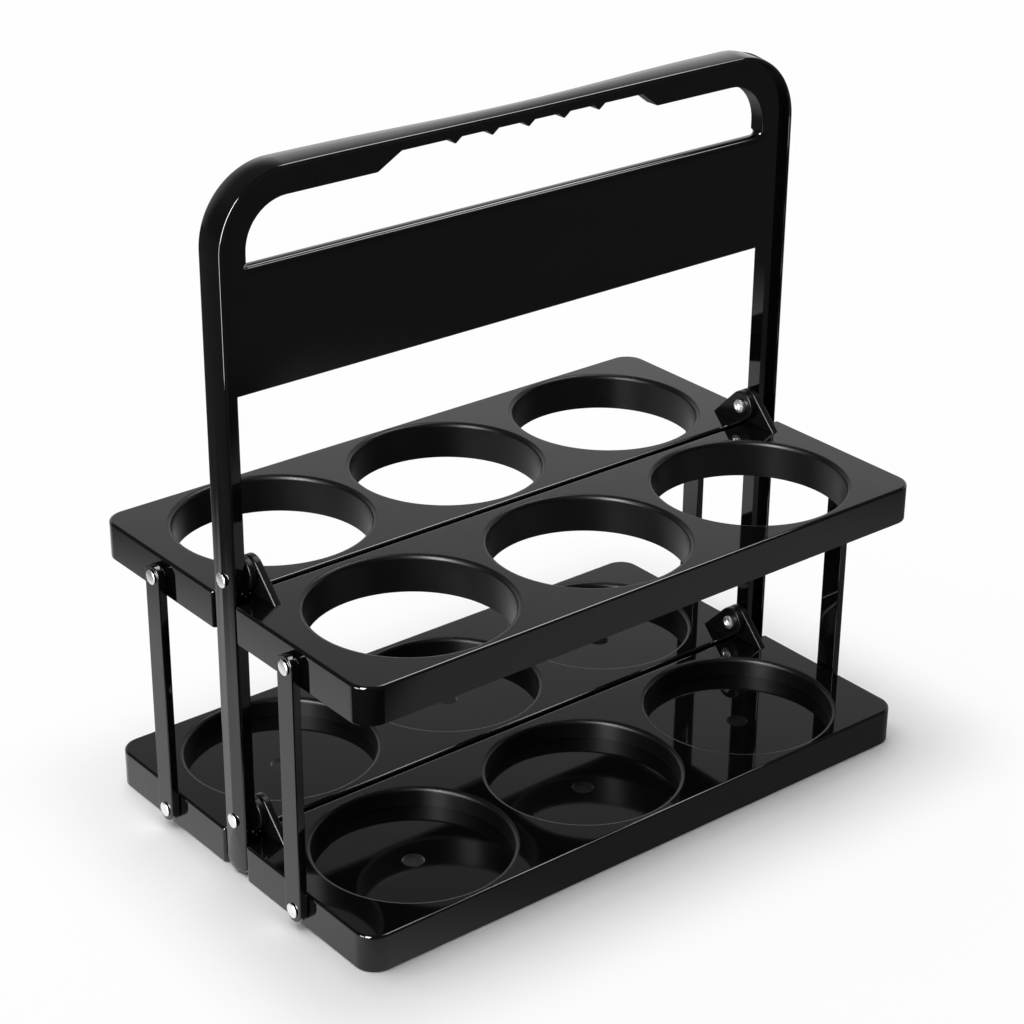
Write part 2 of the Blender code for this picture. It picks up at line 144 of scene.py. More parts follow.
# Facets of whole circles, and steps along corners, roundings and the dip
CUP_FACETS = 128
BORE_FACETS = 48
LOBE_FACETS = 64
CORNER_STEPS = 12
BAND_STEPS = 24
DIP_STEPS = 22
LEG_FOOT_STEPS = 8
DOME_STEPS = 9
RIM_STEPS = 6
PANEL_STEPS = 6
ROUND_STEPS = 4
EASE_STEPS = 3
EDGE_STEPS = 2

# Cutters' overrun, and how near a place or a face counts as the same
OVERRUN = 0.0020
NEAR = 0.00002
SMALL_GAP = 0.0001
SMOOTH_ANGLE = math.radians(35)
CORNER_ANGLE = math.radians(50)
FLAT_ANGLE = math.radians(1)

# Textures of the plastic and the steel, in cycles a metre, and their relief in metres
TONE_SCALE = 55
WAVE_SCALE = 28
HAZE_SCALE = 160
GRAIN_SCALE = 1500
CLOUD_SCALE = 500
SCUFF_SCALE = 2600
PLASTIC_RELIEF = 0.00005
STEEL_RELIEF = 0.00004
PATTERN_SHIFTS = {
    "tray_plastic": 0.3,
    "tray_satin": 0.5,
    "handle_plastic": 0.7,
    "handle_satin": 0.9,
    "link_plastic": 1.1,
}

# How far tone, gloss and relief follow the textures
LIGHT_TONE_SHARE = 1.6
DULL_TONE_SHARE = 0.85
HAZE_SHARE = 0.04
GRAIN_SHARE = 0.02
SCUFF_SHARE = 0.15
WAVE_RELIEF_SHARE = 0.9
GRAIN_RELIEF_SHARE = 0.012

# Reflection of the plastic
PLASTIC_IOR = 1.53
GLOSSY_SPECULAR = 0.5
SATIN_SPECULAR = 0.22

# Camera, with its lens and sensor in millimetres
CAMERA_PLACE = (-0.64927, -0.79983, 0.62721)
CAMERA_YAW = math.radians(-39.0)
CAMERA_TILT = math.radians(90 - 25.86)
CAMERA_ROLL = math.radians(0.45)
CAMERA_LENS = 89.92
CAMERA_SENSOR = 36
CAMERA_NEAR = 0.01

# Studio: the key light shows in no gloss, and the soft boxes show in the gloss alone
KEY_TURN = (math.radians(-21), math.radians(-9), 0)
KEY_ENERGY = 2.9
KEY_SPREAD = math.radians(80)
BOX_AIM = (0, 0, 0.15)
SOFT_BOXES = {
    "left_box": {"place": (-1.25, -0.50, 0.85), "width": 0.5, "height": 1.3, "energy": 80},
    "right_box": {"place": (0.70, 0.10, 1.35), "width": 0.9, "height": 0.56, "energy": 12},
    "low_box": {"place": (-0.70, -0.05, 0.15), "width": 0.2, "height": 0.3, "energy": 3},
}
FLOOR_SIZE = 30
FLOOR_DROP = 0.0002
FLOOR_WHITE = 0.88
FLOOR_FADE = (0, 0.07)

# The painted reflection of the floor in the gloss: its greys of painted light and painted shade, and from
# where to where each passes into the next
NEAR_PAINTED_SHADE = 0.15
FRONT_PAINTED_SHADE = 0.34
LEFT_PAINTED_LIGHT = 0.88
CORNER_PAINTED_SHADE = 0.02
FAR_PAINTED_DARK = 0.09
FRONT_FADE = (0.12, 0.24)
LEFT_FADE = (-0.05, 0.10)
CORNER_FADE = (0.185, 0.215)
FAR_FADE = (0.38, 0.56)
FAR_SHIFT = (-0.05, 0, 0)
FAR_SQUEEZE = (1.2, 1, 1)

# The air: bright at the horizon behind on the right, dim elsewhere
BRIGHT_AIR = 1.1
DIM_AIR = 0.06
HIGH_AIR = 0.1
AIR_FADE = (0.20, 0.65)

# Level directions and the way up, as the studio's shading reads them
FRONT = (0, -1, 0)
FRONT_LEFT = (-0.7, -0.7, 0)
BACK_LEFT = (-0.7, 0.7, 0)
BACK_RIGHT = (0.7, 0.7, 0)
UP = (0, 0, 1)

SIDES = {"left": -1, "right": 1}
HALVES = {"front": -1, "back": 1}
LEVELS = {"upper": UPPER_TOP, "lower": LOWER_TOP}


class Value:
    """A node socket that takes part in sums; each sum adds its Math node."""

    def __init__(self, nodes, socket):
        self.nodes = nodes
        self.socket = socket

    def __add__(self, other):
        return self.nodes.add("ShaderNodeMath", {"operation": "ADD"}, {0: self, 1: other})

    def __sub__(self, other):
        return self.nodes.add("ShaderNodeMath", {"operation": "SUBTRACT"}, {0: self, 1: other})

    def __rsub__(self, other):
        return self.nodes.add("ShaderNodeMath", {"operation": "SUBTRACT"}, {0: other, 1: self})

    def __mul__(self, other):
        return self.nodes.add("ShaderNodeMath", {"operation": "MULTIPLY"}, {0: self, 1: other})

    __radd__ = __add__
    __rmul__ = __mul__


class Nodes:
    """The nodes of one material or world."""

    def __init__(self, owner):
        owner.use_nodes = True
        self.tree = owner.node_tree
        self.tree.nodes.clear()

    def add(self, kind, settings=None, inputs=None, output=0):
        """Add a node: its settings first, then the values or links of its sockets."""
        node = self.tree.nodes.new(kind)
        for name, setting in (settings or {}).items():
            setattr(node, name, setting)
        for key, given in (inputs or {}).items():
            if isinstance(given, Value):
                self.tree.links.new(given.socket, node.inputs[key])
            else:
                node.inputs[key].default_value = given
        return Value(self, node.outputs[output]) if node.outputs else None

    def noise(self, where, scale, detail):
        """A noise value between 0 and 1, with its scale in cycles a metre."""
        inputs = {"Vector": where, "Scale": scale, "Detail": detail}
        return self.add("ShaderNodeTexNoise", None, inputs)

    def ramp(self, value, low, high):
        """A smooth step from 0 to 1 between two values."""
        settings = {"interpolation_type": "SMOOTHSTEP"}
        inputs = {"Value": value, "From Min": low, "From Max": high}
        return self.add("ShaderNodeMapRange", settings, inputs)

    def blend(self, factor, first, second):
        """A colour between two colours."""
        settings = {"data_type": "RGBA"}
        return self.add("ShaderNodeMix", settings, {0: factor, 6: first, 7: second}, 2)

    def along(self, place, way):
        """How far a place lies along a direction."""
        settings = {"operation": "DOT_PRODUCT"}
        return self.add("ShaderNodeVectorMath", settings, {0: place, 1: way}, "Value")


def grey(level):
    """An opaque grey."""
    return (level, level, level, 1)


class CarrierSizes(bpy.types.PropertyGroup):
    """Sizes of the carrier that a user would change."""

    cup_diameter: FloatProperty(
        name="Cup Hole", description="Width of each cup hole and pocket",
        default=CUP_DIAMETER, subtype="DISTANCE", unit="LENGTH")
    tray_corner: FloatProperty(
        name="Tray Corner", description="Radius of the outer corners of the half trays",
        default=TRAY_CORNER, subtype="DISTANCE", unit="LENGTH")
    top_round: FloatProperty(
        name="Top Edge", description="Rounding of the trays' top edges",
        default=TOP_ROUND, subtype="DISTANCE", unit="LENGTH")
    rim_round: FloatProperty(
        name="Hole Rim", description="Rounding of the rims of the cup holes and pockets",
        default=RIM_ROUND, subtype="DISTANCE", unit="LENGTH")
    drain_diameter: FloatProperty(
        name="Drain Hole", description="Width of the drain hole in each pocket's floor",
        default=DRAIN_DIAMETER, subtype="DISTANCE", unit="LENGTH")
    tooth_depth: FloatProperty(
        name="Grip Tooth", description="Depth of the teeth under the handle's bar",
        default=TOOTH_DEPTH, subtype="DISTANCE", unit="LENGTH")
    teeth_each_side: IntProperty(
        name="Grip Teeth", description="Number of teeth on each side of the middle one",
        default=2, min=0, max=3)
    head_rise: FloatProperty(
        name="Rivet Head", description="Height of the domed rivet heads",
        default=HEAD_RISE, subtype="DISTANCE", unit="LENGTH")


class CarrierFinishes(bpy.types.PropertyGroup):
    """Colours and gloss of the carrier and its studio."""

    plastic_colour: FloatVectorProperty(
        name="Plastic", description="Colour of the moulded plastic",
        default=(0.0026, 0.0026, 0.0028), subtype="COLOR", min=0, max=1)
    plastic_roughness: FloatProperty(
        name="Plastic Roughness", description="Roughness of the glossy plastic",
        default=0.04, subtype="FACTOR", min=0, max=1)
    satin_roughness: FloatProperty(
        name="Hole Roughness", description="Roughness of the satin walls of the cup holes",
        default=0.34, subtype="FACTOR", min=0, max=1)
    steel_colour: FloatVectorProperty(
        name="Rivet Steel", description="Colour of the plated rivets and pins",
        default=(0.95, 0.95, 0.95), subtype="COLOR", min=0, max=1)
    steel_roughness: FloatProperty(
        name="Steel Roughness", description="Roughness of the plated steel",
        default=0.33, subtype="FACTOR", min=0, max=1)
    floor_colour: FloatVectorProperty(
        name="Floor", description="Colour of the studio floor",
        default=(0.90, 0.90, 0.90), subtype="COLOR", min=0, max=1)


def lone(item):
    """Leave edit mode and select this object alone."""
    if bpy.context.mode != "OBJECT":
        bpy.ops.object.mode_set(mode="OBJECT")
    bpy.ops.object.select_all(action="DESELECT")
    item.select_set(True)
    bpy.context.view_layer.objects.active = item
    return item


def clear_selection():
    """Leave edit mode and deselect everything, so that a new primitive stands alone."""
    if bpy.context.mode != "OBJECT":
        bpy.ops.object.mode_set(mode="OBJECT")
    bpy.ops.object.select_all(action="DESELECT")


def pick(item, kind, test):
    """Open the mesh and select the vertices, edges or faces that pass a test."""
    lone(item)
    bpy.ops.object.mode_set(mode="EDIT")
    bpy.ops.mesh.select_mode(type=kind)
    bpy.ops.mesh.select_all(action="DESELECT")
    mesh = bmesh.from_edit_mesh(item.data)
    parts = {"VERT": mesh.verts, "EDGE": mesh.edges, "FACE": mesh.faces}[kind]
    for part in parts:
        if test(part):
            part.select_set(True)
    bmesh.update_edit_mesh(item.data)


def settle(item):
    """Put the object's place and turn into its mesh."""
    lone(item)
    bpy.ops.object.transform_apply(location=True, rotation=True, scale=True)
    return item


def drop(item):
    """Delete an object and its mesh."""
    mesh = item.data
    bpy.data.objects.remove(item, do_unlink=True)
    bpy.data.meshes.remove(mesh)


def face_outwards(item):
    """Merge doubles and turn every face outwards."""
    pick(item, "FACE", lambda face: True)
    bpy.ops.mesh.remove_doubles(threshold=NEAR / 10)
    bpy.ops.mesh.normals_make_consistent(inside=False)
    bpy.ops.object.mode_set(mode="OBJECT")


def block(name, low, high):
    """A block between its lowest and highest corner."""
    clear_selection()
    middle = [(a + b) / 2 for a, b in zip(low, high)]
    size = [b - a for a, b in zip(low, high)]
    bpy.ops.mesh.primitive_cube_add(size=1, location=middle)
    made = bpy.context.object
    made.name = name
    made.scale = size
    return settle(made)


def turned(name, profile, facets, place=(0, 0, 0), along="Z"):
    """A turned solid: a disc drawn out ring by ring through (radius, level) steps."""
    clear_selection()
    radius, level = profile[0]
    bpy.ops.mesh.primitive_circle_add(
        vertices=facets, radius=radius, fill_type="NGON", location=(0, 0, level))
    made = settle(bpy.context.object)
    made.name = name
    pick(made, "FACE", lambda face: True)
    for wider, further in profile[1:]:
        step = (0, 0, further - level)
        bpy.ops.mesh.extrude_region_move(TRANSFORM_OT_translate={"value": step})
        grow = wider / radius
        bpy.ops.transform.resize(value=(grow, grow, 1), center_override=(0, 0, further))
        radius, level = wider, further
    face_outwards(made)
    if along == "X":
        made.rotation_euler.y = math.pi / 2
    made.location = place
    return settle(made)


def hull(name, parts):
    """One convex solid round several parts, which are used up."""
    lone(parts[0])
    for part in parts[1:]:
        part.select_set(True)
    bpy.ops.object.join()
    made = bpy.context.object
    made.name = name
    pick(made, "VERT", lambda vertex: True)
    bpy.ops.mesh.delete(type="EDGE_FACE")
    bpy.ops.mesh.select_all(action="SELECT")
    bpy.ops.mesh.convex_hull()
    bpy.ops.mesh.delete_loose()
    bpy.ops.mesh.select_all(action="SELECT")
    bpy.ops.mesh.dissolve_limited(angle_limit=FLAT_ANGLE)
    face_outwards(made)
    return made


def combine(item, other, operation):
    """Cut or join an object with another one, which is used up."""
    lone(item)
    bpy.ops.object.modifier_add(type="BOOLEAN")
    modifier = item.modifiers[-1]
    modifier.operation = operation
    modifier.solver = "EXACT"
    modifier.object = other
    bpy.ops.object.modifier_apply(modifier=modifier.name)
    drop(other)
    return item


def round_edges(item, test, width, steps):
    """Round over the edges that pass a test."""
    pick(item, "EDGE", test)
    bpy.ops.mesh.bevel(
        offset_type="OFFSET", offset=width, segments=steps, affect="EDGES", clamp_overlap=False)
    bpy.ops.object.mode_set(mode="OBJECT")


def both(edge, test):
    """Whether both ends of an edge pass a test of their place."""
    return all(test(vertex.co) for vertex in edge.verts)


def upright(edge):
    """Whether an edge runs straight up."""
    way = edge.verts[0].co - edge.verts[1].co
    return abs(way.x) < NEAR and abs(way.y) < NEAR


def fore_and_aft(edge):
    """Whether an edge runs straight from front to back."""
    way = edge.verts[0].co - edge.verts[1].co
    return abs(way.x) < NEAR and abs(way.z) < NEAR


def is_corner(edge):
    """Whether two faces meet at an edge at a clear angle."""
    return len(edge.link_faces) == 2 and edge.calc_face_angle() > CORNER_ANGLE


def polish(item):
    """Shade the mesh smooth where it is round, and keep its flat faces flat."""
    lone(item)
    bpy.ops.object.shade_smooth_by_angle(angle=SMOOTH_ANGLE)
    bpy.ops.object.modifier_add(type="WEIGHTED_NORMAL")
    modifier = item.modifiers[-1]
    modifier.keep_sharp = True
    bpy.ops.object.modifier_apply(modifier=modifier.name)


def check_closed(item):
    """Stop if the mesh has an open or doubled edge."""
    mesh = bmesh.new()
    mesh.from_mesh(item.data)
    loose = [edge for edge in mesh.edges if len(edge.link_faces) != 2]
    mesh.free()
    if loose:
        raise RuntimeError(f"{item.name} has {len(loose)} open edges")


def copy_of(item, name, turn=0, place=(0, 0, 0)):
    """A copy with its own mesh, turned about the upright axis and moved."""
    lone(item)
    bpy.ops.object.duplicate()
    made = bpy.context.object
    made.name = name
    made.rotation_euler.z = turn
    made.location = place
    return settle(made)


def paint(item, surface, test):
    """Give the faces that pass a test a material of their own."""
    item.data.materials.append(surface)
    pick(item, "FACE", test)
    item.active_material_index = len(item.data.materials) - 1
    bpy.ops.object.material_slot_assign()
    bpy.ops.object.mode_set(mode="OBJECT")


def dress(item, node, body, surface):
    """Finish a piece that stands for one node: its name, material, body and slot."""
    check_closed(item)
    polish(item)
    item.name = node + "_piece"
    item.data.name = item.name
    item.data.materials.clear()
    item.data.materials.append(surface)
    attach(item, body)
    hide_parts(node)


def tray_blank(sizes, top):
    """A front half tray's block, with its corners, leg notches and rounded edges."""
    base = top - TRAY_HEIGHT
    tray = block("tray", (-TRAY_END, -OUTER_EDGE, base), (TRAY_END, -INNER_EDGE, top))
    outer = -(OUTER_EDGE + INNER_EDGE) / 2
    round_edges(
        tray, lambda edge: upright(edge) and both(edge, lambda place: place.y < outer),
        sizes.tray_corner, CORNER_STEPS)
    for side in SIDES.values():
        across = sorted((side * EAR_OUTER, side * (TRAY_END + OVERRUN)))
        low = (across[0], -NOTCH_REACH, base - OVERRUN)
        combine(tray, block("notch", low, (across[1], 0, top + OVERRUN)), "DIFFERENCE")
    round_edges(
        tray, lambda edge: upright(edge) and both(edge, lambda place: place.y > -NOTCH_REACH - NEAR),
        SMALL_CORNER, ROUND_STEPS)
    round_edges(
        tray, lambda edge: both(edge, lambda place: abs(place.z - top) < NEAR),
        sizes.top_round, ROUND_STEPS)
    round_edges(
        tray, lambda edge: both(edge, lambda place: abs(place.z - base) < NEAR),
        FOOT_ROUND, EDGE_STEPS)
    return tray


def tray_core(sizes, top, centres):
    """Cutter for the hollows under a half tray, which leaves a wall round each cup."""
    bottom = top - TRAY_HEIGHT - OVERRUN
    end = TRAY_END - RIM_WALL
    low = (-end, RIM_WALL - OUTER_EDGE, bottom)
    core = block("core", low, (end, -INNER_EDGE - INNER_WALL, top - SKIN))
    outer = -(OUTER_EDGE + INNER_EDGE) / 2
    round_edges(
        core, lambda edge: upright(edge) and both(edge, lambda place: place.y < outer),
        sizes.tray_corner - RIM_WALL, CORNER_STEPS)
    for side in SIDES.values():
        across = sorted((side * (EAR_OUTER - RIM_WALL), side * TRAY_END))
        low = (across[0], -NOTCH_REACH - RIM_WALL, bottom - OVERRUN)
        combine(core, block("notch", low, (across[1], 0, top)), "DIFFERENCE")
    radius = sizes.cup_diameter / 2 + CUP_WALL
    for centre in centres:
        wall = [(radius, bottom - OVERRUN), (radius, top)]
        combine(core, turned("wall", wall, CUP_FACETS, centre), "DIFFERENCE")
    return core


def quarter(radius, steps):
    """Places on a quarter circle, as (run, rise) from its start, which is upright."""
    angles = [math.pi / 2 * step / steps for step in range(1, steps + 1)]
    return [(radius * (1 - math.cos(angle)), radius * math.sin(angle)) for angle in angles]


def cup_profile(sizes, top, has_floor):
    """Profile of the cutter for one cup hole, with its rounded rim and any pocket floor."""
    radius = sizes.cup_diameter / 2
    foot = top - POCKET_DEPTH if has_floor else top - TRAY_HEIGHT - OVERRUN
    rim = top - sizes.rim_round
    flare = [(radius + run, rim + rise) for run, rise in quarter(sizes.rim_round, RIM_STEPS)]
    return [(radius, foot), (radius, rim)] + flare + [(radius + sizes.rim_round, top + OVERRUN)]


def floor_cutters(sizes, top, centre):
    """Cutters for the hollow under a pocket's floor and for the drain hole through the floor."""
    bottom = top - TRAY_HEIGHT - OVERRUN
    radius = sizes.cup_diameter / 2
    hollow = [(radius, bottom), (radius, top - POCKET_DEPTH - POCKET_FLOOR)]
    radius = sizes.drain_diameter / 2
    drain = [(radius, bottom), (radius, top - POCKET_DEPTH + OVERRUN)]
    return [
        turned("hollow", hollow, CUP_FACETS, centre),
        turned("drain", drain, BORE_FACETS, centre),
    ]


def hinge_ear(top, inner_face):
    """One hinge ear: a round lobe on a foot that slopes out to the front, its edges eased."""
    lobe = turned(
        "lobe", [(EAR_RADIUS, inner_face), (EAR_RADIUS, inner_face + EAR_THICK)],
        LOBE_FACETS, (0, 0, top + PIN_LIFT), "X")
    low = (inner_face, -EAR_FOOT, top - EAR_ROOT)
    foot = block("foot", low, (inner_face + EAR_THICK, -INNER_EDGE - TOP_ROUND, top))
    ear = hull("ear", [lobe, foot])
    round_edges(
        ear, lambda edge: is_corner(edge) and both(edge, lambda place: place.z > top - NEAR),
        EAR_EDGE, EASE_STEPS)
    return ear


def half_tray(sizes, top, has_floor):
    """A front half tray with its three cup holes, hinge ears and rivet holes."""
    centres = [(column * CUP_PITCH, -CUP_PLACE, 0) for column in (-1, 0, 1)]
    tray = tray_blank(sizes, top)
    combine(tray, tray_core(sizes, top, centres), "DIFFERENCE")
    profile = cup_profile(sizes, top, has_floor)
    for centre in centres:
        combine(tray, turned("cup", profile, CUP_FACETS, centre), "DIFFERENCE")
        if has_floor:
            for cutter in floor_cutters(sizes, top, centre):
                combine(tray, cutter, "DIFFERENCE")
    near = EAR_OUTER - EAR_THICK
    far = near - FIT
    for inner_face in (near, -far):
        combine(tray, hinge_ear(top, inner_face), "UNION")
    bore = [(HOLE_RADIUS, -EAR_OUTER - OVERRUN), (HOLE_RADIUS, EAR_OUTER + OVERRUN)]
    combine(tray, turned("bore", bore, BORE_FACETS, (0, 0, top + PIN_LIFT), "X"), "DIFFERENCE")
    for side in SIDES.values():
        reach = sorted((side * (TRAY_END - RIM_WALL - OVERRUN), side * (TRAY_END + OVERRUN)))
        hole = [(HOLE_RADIUS, reach[0]), (HOLE_RADIUS, reach[1])]
        place = (0, -LINK_PLACE, top - LINK_DROP)
        combine(tray, turned("hole", hole, BORE_FACETS, place, "X"), "DIFFERENCE")
    return tray


def is_satin(sizes, top, face):
    """Whether a face of a half tray is part of a hinge ear, or of a wall or rim of a hole."""
    middle = face.calc_center_median()
    if middle.z > top + NEAR:
        return True
    along = middle.x - CUP_PITCH * round(middle.x / CUP_PITCH)
    away = math.hypot(along, abs(middle.y) - CUP_PLACE)
    in_drain = away < sizes.drain_diameter / 2 + NEAR
    in_cup = -SMALL_GAP < away - sizes.cup_diameter / 2 < sizes.rim_round
    return abs(face.normal.z) < 1 - NEAR and (in_drain or in_cup)


def draw_out(step, ratio, centre):
    """Extrude the selected section by a step and change its width."""
    bpy.ops.mesh.extrude_region_move(TRANSFORM_OT_translate={"value": step})
    bpy.ops.transform.resize(value=(1, ratio, 1), center_override=centre)


def flange_section():
    """The flange's section as one face at the right foot, its edges rounded and its outside crowned."""
    clear_selection()
    outside = LEG_OUTER - FLANGE_CROWN
    inside = LEG_OUTER - FLANGE_DEPTH
    bpy.ops.mesh.primitive_plane_add(size=1, location=((outside + inside) / 2, 0, LEG_LIFT))
    made = bpy.context.object
    made.name = "band"
    made.scale = (outside - inside, LEG_WIDTH, 1)
    settle(made)
    pick(made, "VERT", lambda vertex: vertex.co.x > outside - NEAR)
    bpy.ops.mesh.bevel(
        offset=FLANGE_ROUND, segments=ROUND_STEPS, affect="VERTICES", clamp_overlap=False)
    pick(made, "VERT", lambda vertex: vertex.co.x < inside + NEAR)
    bpy.ops.mesh.bevel(
        offset=FLANGE_EASE, segments=EASE_STEPS, affect="VERTICES", clamp_overlap=False)
    pick(made, "EDGE", lambda edge: both(edge, lambda place: place.x > outside - NEAR))
    bpy.ops.mesh.subdivide(number_cuts=1)
    pick(made, "VERT", lambda vertex: vertex.co.x > outside - NEAR and abs(vertex.co.y) < NEAR)
    bpy.ops.transform.translate(value=(FLANGE_CROWN, 0, 0))
    return made


def dip(along):
    """Depth of the shallow dip in the handle's top at a distance from its middle."""
    if along >= BAND_DIP_REACH:
        return 0
    return BAND_DIP * (1 + math.cos(math.pi * along / BAND_DIP_REACH)) / 2


def handle_band():
    """The flange: its section drawn up a leg, round the corner and along the top, then mirrored."""
    band = flange_section()
    pick(band, "FACE", lambda face: True)
    half = LEG_WIDTH / 2 - LEG_FOOT_ROUND
    bpy.ops.transform.resize(value=(1, half / (LEG_WIDTH / 2), 1), center_override=(0, 0, LEG_LIFT))
    height = LEG_LIFT
    for run, rise in quarter(LEG_FOOT_ROUND, LEG_FOOT_STEPS):
        wider = LEG_WIDTH / 2 - LEG_FOOT_ROUND + rise
        further = LEG_LIFT + run
        draw_out((0, 0, further - height), wider / half, (0, 0, further))
        half, height = wider, further
    corner = HANDLE_HEIGHT - HANDLE_CORNER
    draw_out((0, 0, corner - height), 1, (0, 0, corner))
    centre = (LEG_OUTER - HANDLE_CORNER, 0, corner)
    bpy.ops.mesh.spin(steps=BAND_STEPS, angle=math.pi / 2, center=centre, axis=(0, 1, 0))
    along, width, drop_here = LEG_OUTER - HANDLE_CORNER, LEG_WIDTH, 0
    stops = [BAND_DIP_REACH * (1 - step / DIP_STEPS) for step in range(DIP_STEPS + 1)]
    for further in stops:
        deeper = dip(further)
        wider = BAND_WIDTH + (BAND_WAIST - BAND_WIDTH) * deeper / BAND_DIP
        step = (further - along, 0, drop_here - deeper)
        draw_out(step, wider / width, (further, 0, HANDLE_HEIGHT - deeper))
        along, width, drop_here = further, wider, deeper
    bpy.ops.mesh.delete(type="FACE")
    lone(band)
    bpy.ops.object.modifier_add(type="MIRROR")
    modifier = band.modifiers[-1]
    modifier.merge_threshold = NEAR
    bpy.ops.object.modifier_apply(modifier=modifier.name)
    face_outwards(band)
    return band


def grip_cutter(sizes):
    """Cutter for the finger grip under the bar: a sloped hollow with teeth left standing in it."""
    face = WEB_WIDTH / 2 + OVERRUN
    low = (-GRIP_REACH, -face, OPENING_TOP - OVERRUN)
    hollow = block("grip", low, (GRIP_REACH, face, GRIP_TOP))
    for side, slant in ((-1, GRIP_SLANT), (1, GRIP_SHORT_SLANT)):
        pick(hollow, "VERT", lambda vertex: vertex.co.x * side > 0 and vertex.co.z > OPENING_TOP)
        bpy.ops.transform.translate(value=(-side * slant, 0, 0))
        pick(hollow, "VERT", lambda vertex: vertex.co.x * side > 0 and vertex.co.z < OPENING_TOP)
        further = slant * OVERRUN / (GRIP_TOP - OPENING_TOP)
        bpy.ops.transform.translate(value=(side * further, 0, 0))
    for count in range(-sizes.teeth_each_side, sizes.teeth_each_side + 1):
        middle = count * TOOTH_PITCH + TOOTH_SHIFT
        tip = GRIP_TOP - sizes.tooth_depth
        low = (middle - TOOTH_WIDTH / 2, -face - OVERRUN, tip)
        tooth = block("tooth", low, (middle + TOOTH_WIDTH / 2, face + OVERRUN, GRIP_TOP))
        pick(tooth, "VERT", lambda vertex: vertex.co.z < tip + NEAR)
        narrow = (TOOTH_TIP / TOOTH_WIDTH, 1, 1)
        bpy.ops.transform.resize(value=narrow, center_override=(middle, 0, tip))
        pick(tooth, "FACE", lambda top: top.normal.z > 1 / 2)
        bpy.ops.mesh.extrude_region_move(TRANSFORM_OT_translate={"value": (0, 0, OVERRUN)})
        combine(hollow, tooth, "DIFFERENCE")
    return hollow


def hand_opening(sizes):
    """Cutter for the hand opening above the panel, with round upper corners and the finger grip."""
    face = WEB_WIDTH / 2 + OVERRUN
    low = (-OPENING_SIDE, -face, PANEL_TOP)
    opening = block("opening", low, (OPENING_SIDE, face, OPENING_TOP))
    middle = (PANEL_TOP + OPENING_TOP) / 2
    round_edges(
        opening, lambda edge: fore_and_aft(edge) and both(edge, lambda place: place.z > middle),
        OPENING_CORNER, CORNER_STEPS)
    round_edges(
        opening, lambda edge: fore_and_aft(edge) and both(edge, lambda place: place.z < PANEL_TOP + NEAR),
        OPENING_FOOT, ROUND_STEPS)
    return combine(opening, grip_cutter(sizes), "UNION")


def handle_web(sizes):
    """The web inside the flange, with the panel between the legs and the hand opening."""
    face = WEB_WIDTH / 2
    outer = LEG_OUTER - WEB_BURIED
    top = HANDLE_HEIGHT - WEB_BURIED
    foot = LEG_LIFT + FIT
    web = block("handle", (-outer, -face, foot), (outer, face, top))
    round_edges(
        web, lambda edge: fore_and_aft(edge) and both(edge, lambda place: place.z > top - NEAR),
        HANDLE_CORNER - WEB_BURIED, BAND_STEPS)
    reach = face + OVERRUN
    low = (-MIDDLE_REACH, -reach, HANDLE_HEIGHT - MIDDLE_TOP)
    combine(web, block("step", low, (MIDDLE_REACH, reach, top + OVERRUN)), "DIFFERENCE")
    low = (-LEG_INNER, -reach, -OVERRUN)
    combine(web, block("gap", low, (LEG_INNER, reach, PANEL_BOTTOM)), "DIFFERENCE")
    return combine(web, hand_opening(sizes), "DIFFERENCE")


def is_opening_face(face):
    """Whether a face of the handle faces into the hand opening, above the panel's rounded top."""
    middle = face.calc_center_median()
    within = abs(middle.x) < OPENING_SIDE + NEAR
    above = PANEL_TOP + OPENING_FOOT < middle.z < GRIP_TOP + NEAR
    return within and above and abs(face.normal.y) < 1 - NEAR


def whole_handle(sizes):
    """The one-piece handle: two legs, the band over the top, the panel and the hand opening."""
    handle = combine(handle_web(sizes), handle_band(), "UNION")
    for top in LEVELS.values():
        bore = [(HOLE_RADIUS, -LEG_OUTER - OVERRUN), (HOLE_RADIUS, LEG_OUTER + OVERRUN)]
        combine(handle, turned("bore", bore, BORE_FACETS, (0, 0, top + PIN_LIFT), "X"), "DIFFERENCE")
    face = WEB_WIDTH / 2

    def on_face(edge):
        return is_corner(edge) and both(edge, lambda place: abs(abs(place.y) - face) < NEAR)

    def in_opening(place):
        return abs(place.x) < OPENING_SIDE + NEAR and PANEL_TOP - NEAR < place.z < GRIP_TOP + NEAR

    def in_gap(place):
        return abs(place.x) < LEG_INNER + NEAR and place.z < PANEL_BOTTOM + NEAR

    def on_panel_top(place):
        return abs(place.x) < OPENING_SIDE + NEAR and place.z < PANEL_TOP + OPENING_FOOT + NEAR

    round_edges(
        handle, lambda edge: on_face(edge) and both(edge, in_opening) and both(edge, on_panel_top),
        PANEL_ROUND, PANEL_STEPS)
    round_edges(
        handle, lambda edge: on_face(edge) and both(edge, in_opening) and not both(edge, on_panel_top),
        OPENING_EDGE, EDGE_STEPS)
    round_edges(handle, lambda edge: on_face(edge) and both(edge, in_gap), PANEL_EDGE, EASE_STEPS)
    return handle


def flat_link():
    """A link with round ends and eased edges, with its lower hole at the height of zero."""
    radius = LINK_WIDTH / 2
    ends = []
    for height in (0, LEVEL_RISE):
        profile = [(radius, LINK_INNER), (radius, LINK_OUTER)]
        ends.append(turned("end", profile, BORE_FACETS, (0, 0, height), "X"))
    link = hull("link", ends)
    round_edges(link, is_corner, LINK_EDGE, EASE_STEPS)
    for height in (0, LEVEL_RISE):
        hole = [(HOLE_RADIUS, LINK_INNER - OVERRUN), (HOLE_RADIUS, LINK_OUTER + OVERRUN)]
        combine(link, turned("hole", hole, BORE_FACETS, (0, 0, height), "X"), "DIFFERENCE")
    return link


